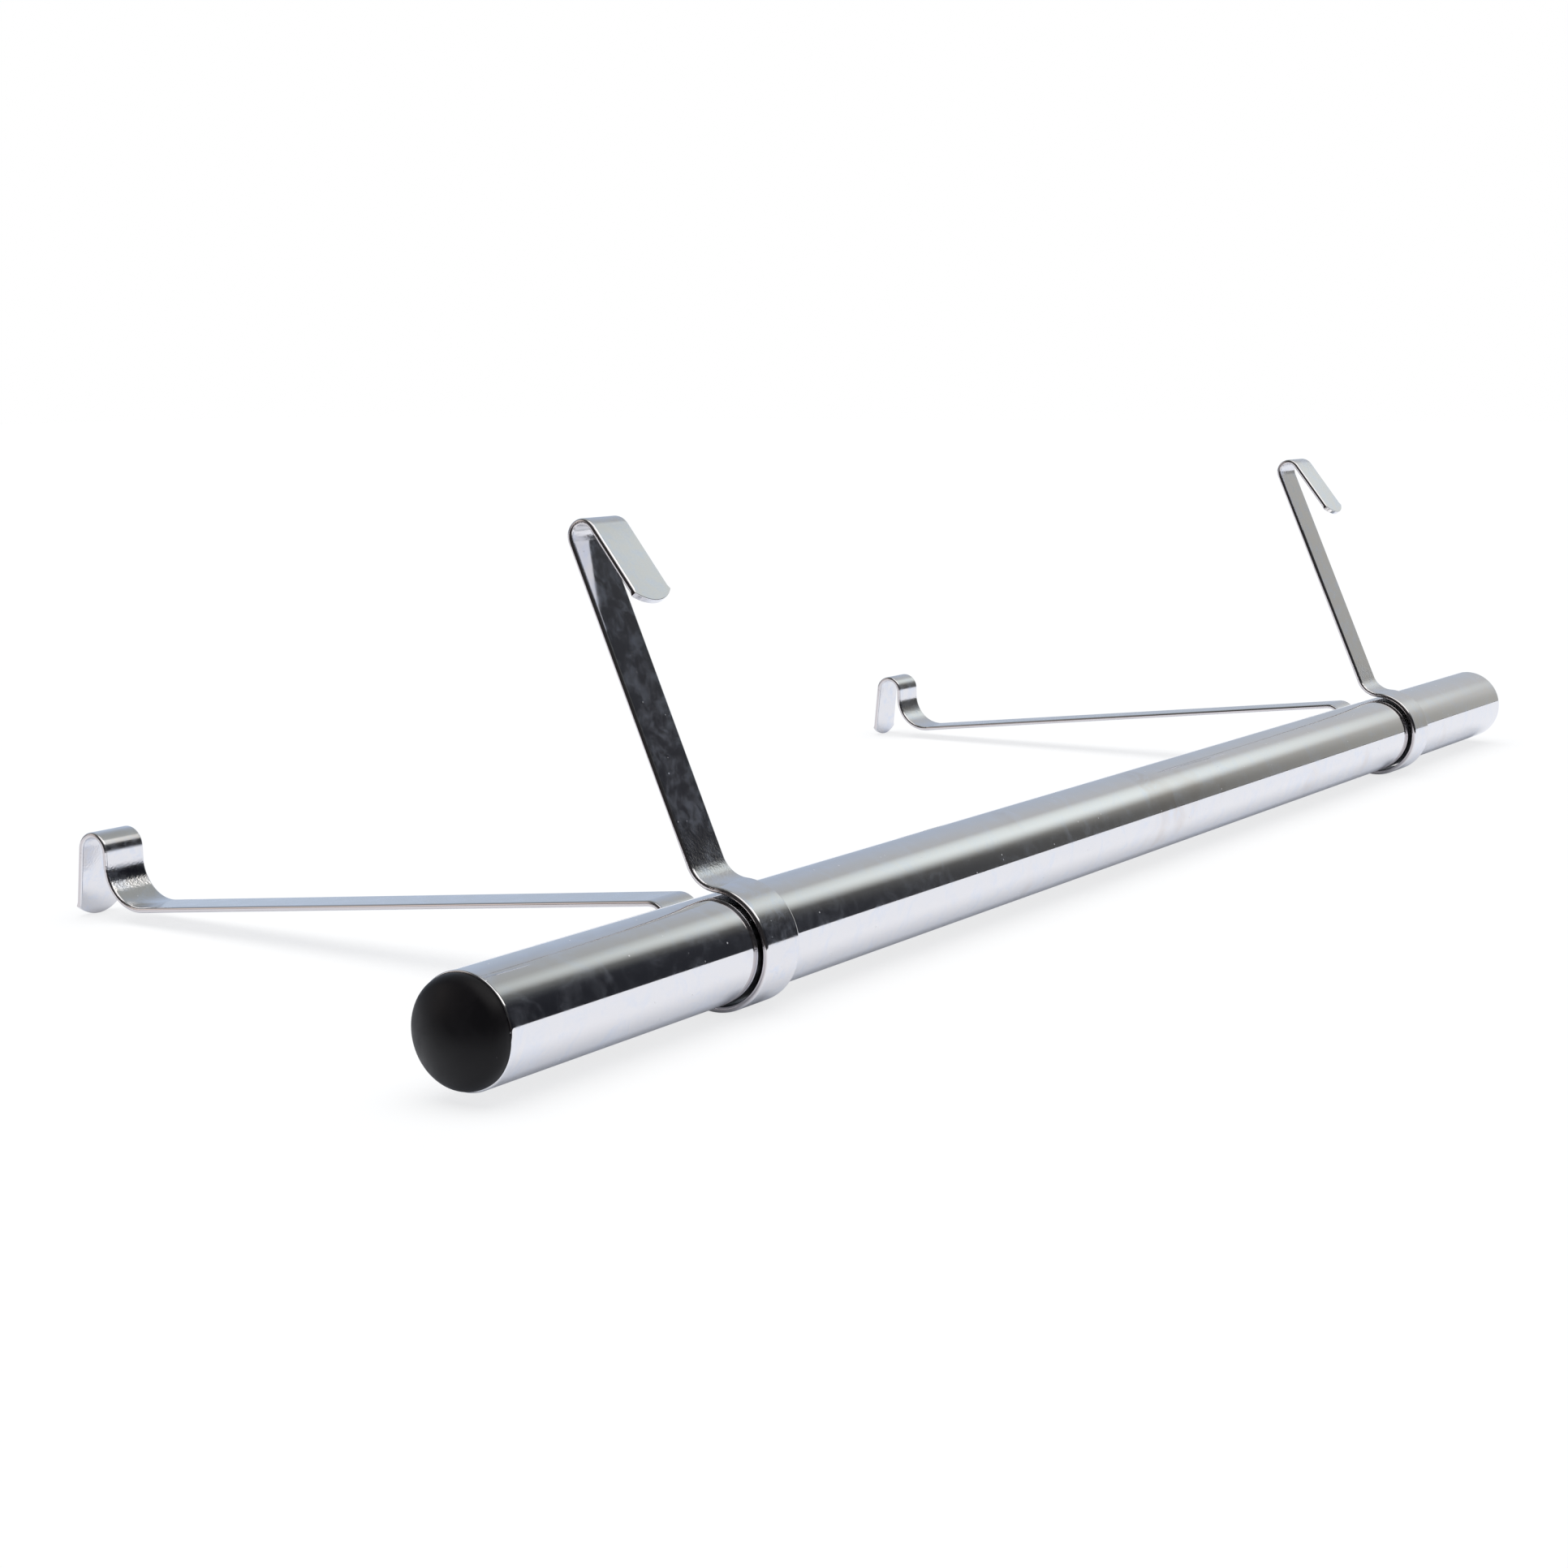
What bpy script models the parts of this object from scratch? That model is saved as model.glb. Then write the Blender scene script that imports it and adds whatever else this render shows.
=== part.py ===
"""Closet rod: a chromed tube with a domed plug in each end, carried by two loose hangers of bent strip.

Units are metres. +X runs along the tube, +Y points to the rear hooks and +Z is up. The rod lies on a flat
surface, on the bottoms of the two loops and on the tips of the two rear hooks. The origin is on that surface,
at the centre of the rod's outline.
"""

import math

import bmesh
import bpy

# Tube
TUBE_LENGTH = 0.600
TUBE_DIAMETER = 0.025
TUBE_WALL = 0.0010
TUBE_RIM_CHAMFER = 0.00025

# End plugs: a domed head on the rim and a hollow stem with barbed ribs in the bore
FIT_GAP = 0.0003
HEAD_STEP = 0.0004
DOME_HEIGHT = 0.0062
DOME_EDGE_RADIUS = 0.0038
DOME_SKIRT = 0.0003
STEM_LENGTH = 0.0160
STEM_WALL = 0.0015
STEM_LEAD_IN = 0.0010
RIB_HEIGHT = 0.0008
RIB_PITCH = 0.0042
RIB_SPACE = 0.0014
RIB_LAND = 0.0006

# Hanger strip, cut from flat stock with rounded edges and crowned ends
STRIP_WIDTH = 0.0137
STRIP_THICKNESS = 0.0015
STRIP_EDGE_RADIUS = 0.0004
TIP_CROWN = 0.0026
LEFT_HANGER_INSET = 0.0945
RIGHT_HANGER_INSET = 0.0910

# Hanger bends, as inside radii and turns. The rear arm is level in the hanger's own frame.
LOOP_GAP = 0.0006
ARM_SPREAD = math.radians(72.8)
UPPER_ARM_OFFSET = 0.0013
UPPER_ARM_REACH = 0.0986
UPPER_BASE_RADIUS = 0.0073
UPPER_HOOK_RADIUS = 0.0028
UPPER_HOOK_TURN = math.radians(165.4)
UPPER_LEG = 0.0188
REAR_ARM_HEIGHT = 0.0108
REAR_ARM_REACH = 0.1846
REAR_BASE_RADIUS = 0.0022
REAR_ELBOW_RADIUS = 0.0107
REAR_ELBOW_TURN = math.radians(96.1)
REAR_RISER = 0.0028
REAR_HOOK_RADIUS = 0.0038
REAR_HOOK_TURN = math.radians(173.5)
REAR_LEG = 0.0161

# Facets
ROUND_SEGMENTS = 48
BEND_FACET = math.radians(9.0)
TIP_SEGMENTS = 10
DOME_SEGMENTS = 4
EDGE_SEGMENTS = 2
SHARP_ANGLE = math.radians(35.0)
EDGE_ANGLE = math.radians(60.0)
SEAM_MERGE = 1e-6

# Sizes that follow from those above
TUBE_RADIUS = TUBE_DIAMETER / 2
BORE_RADIUS = TUBE_RADIUS - TUBE_WALL
LOOP_OUTER_RADIUS = TUBE_RADIUS + LOOP_GAP + STRIP_THICKNESS
LOOP_RADIUS = LOOP_OUTER_RADIUS - STRIP_THICKNESS / 2
RIB_COUNT = int((STEM_LENGTH - STEM_LEAD_IN) / RIB_PITCH)

CHROME = ("chrome", (0.80, 0.80, 0.82), 1.0, 0.08)
BRIGHT_STEEL = ("bright_steel", (0.72, 0.71, 0.71), 1.0, 0.16)
BLACK_PLASTIC = ("black_plastic", (0.016, 0.016, 0.017), 0.0, 0.42)


def material(name, colour, metallic, roughness):
    """A Principled material for one piece."""
    made = bpy.data.materials.new(name)
    made.use_nodes = True
    shader = made.node_tree.nodes["Principled BSDF"]
    shader.inputs["Base Color"].default_value = (*colour, 1.0)
    shader.inputs["Metallic"].default_value = metallic
    shader.inputs["Roughness"].default_value = roughness
    return made


def add_object(name, shape, finish, parent):
    """Turn a bmesh into a named, smooth-shaded object under its parent."""
    mesh = bpy.data.meshes.new(name)
    bmesh.ops.recalc_face_normals(shape, faces=shape.faces)
    shape.to_mesh(mesh)
    shape.free()
    mesh.shade_smooth()
    mesh.set_sharp_from_angle(angle=SHARP_ANGLE)
    made = bpy.data.objects.new(name, mesh)
    mesh.materials.append(material(name + "_" + finish[0], *finish[1:]))
    made.parent = parent
    bpy.context.scene.collection.objects.link(made)
    return made


def turned(profile, closed):
    """Spin a profile of (distance along X, radius) points about the X axis."""
    shape = bmesh.new()
    points = [shape.verts.new((along, 0.0, radius)) for along, radius in profile]
    edges = [shape.edges.new(pair) for pair in zip(points, points[1:])]
    if closed:
        edges.append(shape.edges.new((points[-1], points[0])))
    bmesh.ops.spin(
        shape,
        geom=points + edges,
        cent=(0.0, 0.0, 0.0),
        axis=(1.0, 0.0, 0.0),
        angle=math.tau,
        steps=ROUND_SEGMENTS,
    )
    bmesh.ops.remove_doubles(shape, verts=shape.verts, dist=SEAM_MERGE)
    return shape


def tube_profile():
    """Section of the tube's wall, with a small chamfer on every rim edge."""
    half = TUBE_LENGTH / 2
    cut = TUBE_RIM_CHAMFER
    right_rim = [
        (half - cut, TUBE_RADIUS),
        (half, TUBE_RADIUS - cut),
        (half, BORE_RADIUS + cut),
        (half - cut, BORE_RADIUS),
    ]
    left_rim = [(-along, radius) for along, radius in reversed(right_rim)]
    return right_rim + left_rim


def dome_profile():
    """Head of the plug, from its apex to its seat: a wide arc, a tighter edge arc and a short straight skirt."""
    seat_radius = TUBE_RADIUS - HEAD_STEP
    edge = DOME_EDGE_RADIUS
    edge_r = seat_radius - edge
    rise = DOME_HEIGHT - DOME_SKIRT
    crown = (rise**2 + edge_r**2 - edge**2) / (2 * (rise - edge))
    crown_x = DOME_HEIGHT - crown
    join = math.atan2(edge_r, DOME_SKIRT - crown_x)
    points = []
    for step in range(DOME_SEGMENTS):
        slope = join * step / DOME_SEGMENTS
        points.append((crown_x + crown * math.cos(slope), crown * math.sin(slope)))
    for step in range(DOME_SEGMENTS + 1):
        slope = join + (math.pi / 2 - join) * step / DOME_SEGMENTS
        points.append((DOME_SKIRT + edge * math.cos(slope), edge_r + edge * math.sin(slope)))
    points.append((0.0, seat_radius))
    return points


def plug_profile():
    """Half section of an end plug: dome, seat, barbed ribs, lead-in and the hollow of the stem."""
    crest = BORE_RADIUS - FIT_GAP
    root = crest - RIB_HEIGHT
    hollow = root - STEM_WALL
    points = dome_profile()
    points.append((0.0, root))
    for rib in range(RIB_COUNT):
        top = -rib * RIB_PITCH - RIB_SPACE
        tail = -(rib + 1) * RIB_PITCH
        points += [(top, root), (top, crest), (top - RIB_LAND, crest), (tail, root)]
    points += [
        (STEM_LEAD_IN - STEM_LENGTH, root),
        (-STEM_LENGTH, root - STEM_WALL / 2),
        (-STEM_LENGTH, hollow),
        (0.0, hollow),
        (0.0, 0.0),
    ]
    return points


class StripPath:
    """Middle line of the strip in the YZ plane, drawn from a start as straight runs and bends."""

    def __init__(self, angle, heading):
        """Start on the loop, at an angle round the tube, going the way of the heading."""
        self.points = [(LOOP_RADIUS * math.cos(angle), LOOP_RADIUS * math.sin(angle))]
        self.heading = heading

    def run(self, length):
        """Go straight on."""
        y, z = self.points[-1]
        self.points.append((y + length * math.cos(self.heading), z + length * math.sin(self.heading)))

    def bend(self, inside_radius, turn):
        """Turn left for a positive angle and right for a negative one, round an inside radius."""
        radius = math.copysign(inside_radius + STRIP_THICKNESS / 2, turn)
        y, z = self.points[-1]
        centre_y = y - radius * math.sin(self.heading)
        centre_z = z + radius * math.cos(self.heading)
        steps = math.ceil(abs(turn) / BEND_FACET)
        for step in range(1, steps + 1):
            angle = self.heading + turn * step / steps
            self.points.append((centre_y + radius * math.sin(angle), centre_z - radius * math.cos(angle)))
        self.heading += turn


def upper_branch():
    """From the top of the loop, up the arm and over the upper hook to its tip."""
    base = UPPER_BASE_RADIUS + STRIP_THICKNESS / 2
    swing = math.asin((UPPER_ARM_OFFSET + base) / (LOOP_RADIUS + base))
    leave = ARM_SPREAD + swing
    path = StripPath(leave, leave - math.pi / 2)
    path.bend(UPPER_BASE_RADIUS, ARM_SPREAD - path.heading)
    path.run(UPPER_ARM_REACH - (LOOP_RADIUS + base) * math.cos(swing))
    path.bend(UPPER_HOOK_RADIUS, UPPER_HOOK_TURN)
    path.run(UPPER_LEG)
    return leave, path


def rear_branch():
    """From the back of the loop, along the arm, up the elbow and over the rear hook to its tip."""
    base = REAR_BASE_RADIUS + STRIP_THICKNESS / 2
    leave = math.asin((REAR_ARM_HEIGHT - base) / (LOOP_RADIUS + base))
    path = StripPath(leave, leave + math.pi / 2)
    path.bend(REAR_BASE_RADIUS, -path.heading)
    path.run(REAR_ARM_REACH - (LOOP_RADIUS + base) * math.cos(leave))
    path.bend(REAR_ELBOW_RADIUS, REAR_ELBOW_TURN)
    path.run(REAR_RISER)
    path.bend(REAR_HOOK_RADIUS, -REAR_HOOK_TURN)
    path.run(REAR_LEG)
    return leave, path


def loop_points(start, end):
    """The stretch that wraps the tube, from the upper arm over the front and under to the rear arm."""
    steps = math.ceil((end - start) / BEND_FACET)
    angles = [start + (end - start) * step / steps for step in range(1, steps)]
    return [(LOOP_RADIUS * math.cos(angle), LOOP_RADIUS * math.sin(angle)) for angle in angles]


def crowned_end(shape, corner_pair, heading):
    """Close the blank with a crowned tip beyond its last pair of corners."""
    near, far = corner_pair
    half = STRIP_WIDTH / 2
    radius = (half**2 + TIP_CROWN**2) / (2 * TIP_CROWN)
    spread = math.asin(half / radius)
    rim = []
    for step in range(1, TIP_SEGMENTS):
        angle = -spread + 2 * spread * step / TIP_SEGMENTS
        across = radius * math.sin(angle)
        out = radius * math.cos(angle) - (radius - TIP_CROWN)
        y = near.co.y + out * math.cos(heading)
        z = near.co.z + out * math.sin(heading)
        rim.append(shape.verts.new((across, y, z)))
    shape.faces.new([near] + rim + [far])


def hanger_blank(upper_leave, upper, rear_leave, rear):
    """The strip's middle surface, already bent, as one ribbon with a crowned tip at each end."""
    line = upper.points[::-1] + loop_points(upper_leave, rear_leave + math.tau) + rear.points
    shape = bmesh.new()
    half = STRIP_WIDTH / 2
    rows = [(shape.verts.new((-half, y, z)), shape.verts.new((half, y, z))) for y, z in line]
    for (a, b), (c, d) in zip(rows, rows[1:]):
        shape.faces.new((a, b, d, c))
    crowned_end(shape, rows[0], upper.heading)
    crowned_end(shape, rows[-1], rear.heading)
    return shape


def rest_swing(rear):
    """Angle that swings the hanger about the tube until its rear tip is level with the bottom of its loop."""
    y, z = rear.points[-1]
    end_y = y + TIP_CROWN * math.cos(rear.heading)
    end_z = z + TIP_CROWN * math.sin(rear.heading)
    half = STRIP_THICKNESS / 2
    swings = []
    for side in (-half, half):
        corner_y = end_y - side * math.sin(rear.heading)
        corner_z = end_z + side * math.cos(rear.heading)
        level = math.asin(-LOOP_OUTER_RADIUS / math.hypot(corner_y, corner_z))
        swings.append(level - math.atan2(corner_z, corner_y))
    return max(swings)


def build_hanger(name, along, parent):
    """One hanger: the bent blank, given its thickness and rounded edges, swung down to rest."""
    upper_leave, upper = upper_branch()
    rear_leave, rear = rear_branch()
    made = add_object(name, hanger_blank(upper_leave, upper, rear_leave, rear), BRIGHT_STEEL, parent)
    thicken = made.modifiers.new("thickness", "SOLIDIFY")
    thicken.thickness = STRIP_THICKNESS
    thicken.offset = 0.0
    thicken.use_even_offset = True
    round_edges = made.modifiers.new("rounded_edges", "BEVEL")
    round_edges.width = STRIP_EDGE_RADIUS
    round_edges.segments = EDGE_SEGMENTS
    round_edges.limit_method = "ANGLE"
    round_edges.angle_limit = EDGE_ANGLE
    made.location.x = along
    made.rotation_euler.x = rest_swing(rear)
    return made


def build_plug(name, side, parent):
    """One end plug, seated on the tube's rim. Side is -1 at the left end and 1 at the right end."""
    made = add_object(name, turned(plug_profile(), closed=False), BLACK_PLASTIC, parent)
    made.location.x = side * (TUBE_LENGTH / 2 + FIT_GAP)
    if side < 0:
        made.rotation_euler.z = math.pi
    return made


def depth_range(hanger):
    """Front and rear limits of a hanger about the tube's axis."""
    bpy.context.view_layer.update()
    solid = hanger.evaluated_get(bpy.context.evaluated_depsgraph_get())
    depths = [(solid.matrix_world @ vertex.co).y for vertex in solid.data.vertices]
    return min(depths), max(depths)


def build():
    """Make the whole rod."""
    for old in list(bpy.data.objects):
        bpy.data.objects.remove(old, do_unlink=True)
    axis = bpy.data.objects.new("tube_axis", None)
    bpy.context.scene.collection.objects.link(axis)
    add_object("rod_tube", turned(tube_profile(), closed=True), CHROME, axis)
    build_plug("left_end_cap", -1, axis)
    build_plug("right_end_cap", 1, axis)
    left = build_hanger("left_hanger", LEFT_HANGER_INSET - TUBE_LENGTH / 2, axis)
    build_hanger("right_hanger", TUBE_LENGTH / 2 - RIGHT_HANGER_INSET, axis)
    front, rear = depth_range(left)
    axis.location = (0.0, -(front + rear) / 2, LOOP_OUTER_RADIUS)


build()
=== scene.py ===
"""Looks of the closet rod: a chromed tube with black end plugs, on two hangers of bright bent strip.

Every piece is built from its solid's place in the frame, with finer bends and rounded edges, and has its
own procedural finish. The rod lies on a white table in a dim studio, as in the photograph. Lengths are
in metres.
"""

import math

import bmesh
import bpy
from mathutils import Matrix, Vector


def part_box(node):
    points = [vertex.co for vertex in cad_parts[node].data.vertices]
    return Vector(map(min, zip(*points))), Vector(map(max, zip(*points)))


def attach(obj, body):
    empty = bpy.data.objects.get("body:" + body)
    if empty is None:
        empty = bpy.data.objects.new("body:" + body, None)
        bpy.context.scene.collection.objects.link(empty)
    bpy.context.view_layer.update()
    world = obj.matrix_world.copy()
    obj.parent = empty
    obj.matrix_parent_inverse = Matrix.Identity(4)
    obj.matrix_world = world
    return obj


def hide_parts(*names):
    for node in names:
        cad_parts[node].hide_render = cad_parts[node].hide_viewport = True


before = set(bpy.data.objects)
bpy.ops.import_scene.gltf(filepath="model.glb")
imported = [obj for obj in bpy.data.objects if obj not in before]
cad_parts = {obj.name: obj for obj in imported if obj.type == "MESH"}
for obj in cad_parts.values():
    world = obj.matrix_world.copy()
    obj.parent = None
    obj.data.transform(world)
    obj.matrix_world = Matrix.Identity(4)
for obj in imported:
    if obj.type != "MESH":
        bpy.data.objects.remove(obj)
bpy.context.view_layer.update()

# Camera, fitted to the photograph
CAMERA_PLACE = Vector((-0.6931, -0.4311, 0.1439))
CAMERA_YAW = math.radians(56.81)
CAMERA_PITCH = math.radians(8.88)
CAMERA_ROLL = math.radians(-0.46)
CAMERA_LENS = 60.69
CAMERA_NEAR = 0.01
SENSOR_WIDTH = 36.0

# Tube and plugs
TUBE_WALL = 0.0010
RIM_RADIUS = 0.0003
RIM_RUN = 0.0004
PLUG_SEAT_GAP = 0.00005
PLUG_FIT_GAP = 0.0003
HEAD_STEP = 0.0004
DOME_EDGE_RADIUS = 0.0038
DOME_SKIRT = 0.0003
STEM_WALL = 0.0015
STEM_LEAD_IN = 0.0010
RIB_HEIGHT = 0.0008
RIB_PITCH = 0.0042
RIB_SPACE = 0.0014
RIB_LAND = 0.0006

# Section and tips of the hanger strip
STRIP_THICKNESS = 0.0015
STRIP_EDGE_RADIUS = 0.0007
TIP_CROWN = 0.0026
TIP_CORNER_RADIUS = 0.00025
TIP_EDGE_RADIUS = 0.0002
TIP_RUN = 0.0012

# Path of the strip, with inside radii for its bends. The rear arm's base is bent wider than the solid's.
LOOP_GAP = 0.0006
ARM_SPREAD = math.radians(72.8)
UPPER_ARM_OFFSET = 0.0013
UPPER_ARM_REACH = 0.0986
UPPER_BASE_RADIUS = 0.0073
UPPER_HOOK_RADIUS = 0.0028
UPPER_HOOK_TURN = math.radians(165.4)
UPPER_LEG = 0.0188
REAR_ARM_HEIGHT = 0.0108
REAR_ARM_REACH = 0.1846
REAR_BASE_RADIUS = 0.0040
REAR_ELBOW_RADIUS = 0.0107
REAR_ELBOW_TURN = math.radians(96.1)
REAR_RISER = 0.0028
REAR_HOOK_RADIUS = 0.0038
REAR_HOOK_TURN = math.radians(173.5)
REAR_LEG = 0.0161

# Fineness of the meshes
ROUND_SEGMENTS = 192
ARC_SEGMENTS = 10
RIM_SEGMENTS = 4
BEND_STEP = math.radians(2.5)
RUN_STEP = 0.012
TIP_SEGMENTS = 12
CORNER_SEGMENTS = 6
EDGE_SEGMENTS = 5
SHARP_ANGLE = math.radians(35.0)
SEAM_MERGE = 1e-6

# What the finishes share. The scales of all textures are in cells per metre.
METALLIC = 0.999
MARK_DEPTH = 0.00005
SPECK_CORE = 0.4

# Finish of the tube
CHROME_CLEAN = (0.806, 0.795, 0.802, 1.0)
CHROME_STAINED = (0.740, 0.705, 0.690, 1.0)
CHROME_HAZY = (0.765, 0.787, 0.845, 1.0)
CHROME_ROUGHNESS = 0.04
WIPING_SCALES = (26.0, 420.0, 420.0)

# Finish of the strip. Its bends are fully sharp at the grain radius, and the crease limit caps their grain.
STRIP_CLEAN = (0.790, 0.778, 0.785, 1.0)
STRIP_CLOUDY = (0.735, 0.767, 0.845, 1.0)
STRIP_SHEARED = (0.640, 0.600, 0.600, 1.0)
# Near-black tint on the inside of the loop: rub wear, and painted shade in the gap against the tube
STRIP_WORN_AND_SHADED = (0.090, 0.086, 0.090, 1.0)
STRIP_ROUGHNESS = 0.055
ROLLING_SCALES = (900.0, 40.0, 40.0)
ROLLING_HEIGHT = 0.15
BEND_LAYER = "sharpness_of_bend"
GRAIN_RADIUS = 0.0040
GRAIN_HEIGHT = 18.0
CREASE_LIMIT = 0.55
# How far out from the inside of the loop the painted shade and the rub wear reach
WORN_AND_SHADED_DEPTH = STRIP_EDGE_RADIUS / 16
WORN_AND_SHADED_FADE = STRIP_EDGE_RADIUS / 6

# Finish of the plugs, from untouched to rubbed
PLASTIC_DARK = (0.0034, 0.0029, 0.0034)
PLASTIC_RUBBED = (0.0062, 0.0053, 0.0061)
PLASTIC_DUSTY = (0.05, 0.05, 0.05, 1.0)
PLASTIC_ROUGHNESS = (0.38, 0.52)
PLASTIC_SPECULAR = 0.21
PLASTIC_GRAIN_DEPTH = 0.00004
RUBBED_RANGE = (0.3, 0.75)

# White floor, as the camera sees it and as the metal mirrors it
FLOOR_HALF = 6.0
FLOOR_SEEN = (0.90, 0.90, 0.90, 1.0)
FLOOR_MIRRORED = (0.865, 0.85, 0.85, 1.0)
FLOOR_GLOW_SEEN = 0.74
FLOOR_GLOW_MIRRORED = 0.34
FLOOR_GLOW_COLOUR = (0.92, 0.97, 1.07, 1.0)
# In the metal the floor's glow fades by ambient occlusion close to the rod: a painted contact shadow
PAINTED_SHADOW_REACH = 0.004
PAINTED_SHADOW_SAMPLES = 4

# Edges of the table top that the metal mirrors
TABLE_LEFT = -0.350
TABLE_CORNER = 0.075
TABLE_SLANT = 0.76
TABLE_FRONT = -0.75
TABLE_SOFTNESS = 0.01
BEYOND_TABLE = (0.022, 0.019, 0.019, 1.0)

# Soft light over the table
LIGHT_STRENGTH = 2.6
LIGHT_COLOUR = (1.0, 0.975, 0.93)
LIGHT_ANGLE = math.radians(70.0)
WHITE = (1.0, 1.0, 1.0, 1.0)
AMBIENT = (0.31, 0.36, 0.44, 1.0)

# Studio wall by azimuth in degrees: 0 is to the right along the tube, 90 behind the rod, -90 in front
STUDIO_RADIUS = 30.0
STUDIO_FACETS = 64
WALL = [
    (-180, (0.035, 0.034, 0.035)),
    (-46, (0.009, 0.010, 0.014)),
    (-34, (0.029, 0.031, 0.038)),
    (-28, (0.104, 0.105, 0.104)),
    (-22, (0.345, 0.345, 0.325)),
    (-16, (0.570, 0.570, 0.550)),
    (0, (0.550, 0.560, 0.570)),
    (30, (0.440, 0.500, 0.600)),
    (46, (0.500, 0.585, 0.710)),
    (100, (0.280, 0.300, 0.340)),
    (135, (0.040, 0.039, 0.040)),
    (180, (0.035, 0.034, 0.035)),
]
WALL_LEAN = 0.12
WALL_GLOW = (0.95, 1.02, 1.01, 1.0)
WALL_GLOW_AZIMUTH = math.radians(-14.0)
WALL_GLOW_ELEVATION = math.radians(31.0)
WALL_GLOW_RADIUS = math.radians(17.0)
WALL_GLOW_FROM = math.radians(-30.0)
WALL_GLOW_TO = math.radians(-14.0)

# Studio ceiling, with the sideways range of directions over which its left side darkens
CEILING = (0.330, 0.350, 0.345, 1.0)
CEILING_LEFT = (0.060, 0.058, 0.060, 1.0)
CEILING_SIDES = (0.1, -0.4)
CEILING_FROM = math.radians(22.0)
CEILING_TO = math.radians(56.0)

# Softbox overhead, warm patch at the left rear and long lamp in front
SOFTBOX = (1.15, 1.13, 1.12, 1.0)
SOFTBOX_AZIMUTH = math.radians(-90.0)
SOFTBOX_ELEVATION = math.radians(69.0)
SOFTBOX_CORE = math.radians(27.0)
SOFTBOX_RADIUS = math.radians(33.0)
WARM = (0.99, 0.90, 0.85, 1.0)
WARM_AZIMUTH = math.radians(130.0)
WARM_ELEVATION = math.radians(21.0)
WARM_CORE = math.radians(8.0)
WARM_RADIUS = math.radians(20.0)
LAMP = (1.7, 1.68, 1.62, 1.0)
LAMP_REACH = (0.25, 0.655)
LAMP_REACH_SOFTNESS = 0.012
LAMP_TILT = (math.radians(42.0), math.radians(68.0))
LAMP_TILT_SOFTNESS = math.radians(4.0)

# Sizes and places from the frame
tube_low, tube_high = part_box("rod_tube")
TUBE_AXIS = (tube_low + tube_high) / 2
TUBE_RADIUS = (tube_high.z - tube_low.z) / 2
TUBE_HALF = (tube_high.x - tube_low.x) / 2
BORE_RADIUS = TUBE_RADIUS - TUBE_WALL
LOOP_INNER_RADIUS = TUBE_RADIUS + LOOP_GAP
LOOP_OUTER_RADIUS = LOOP_INNER_RADIUS + STRIP_THICKNESS
LOOP_RADIUS = LOOP_INNER_RADIUS + STRIP_THICKNESS / 2


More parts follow.
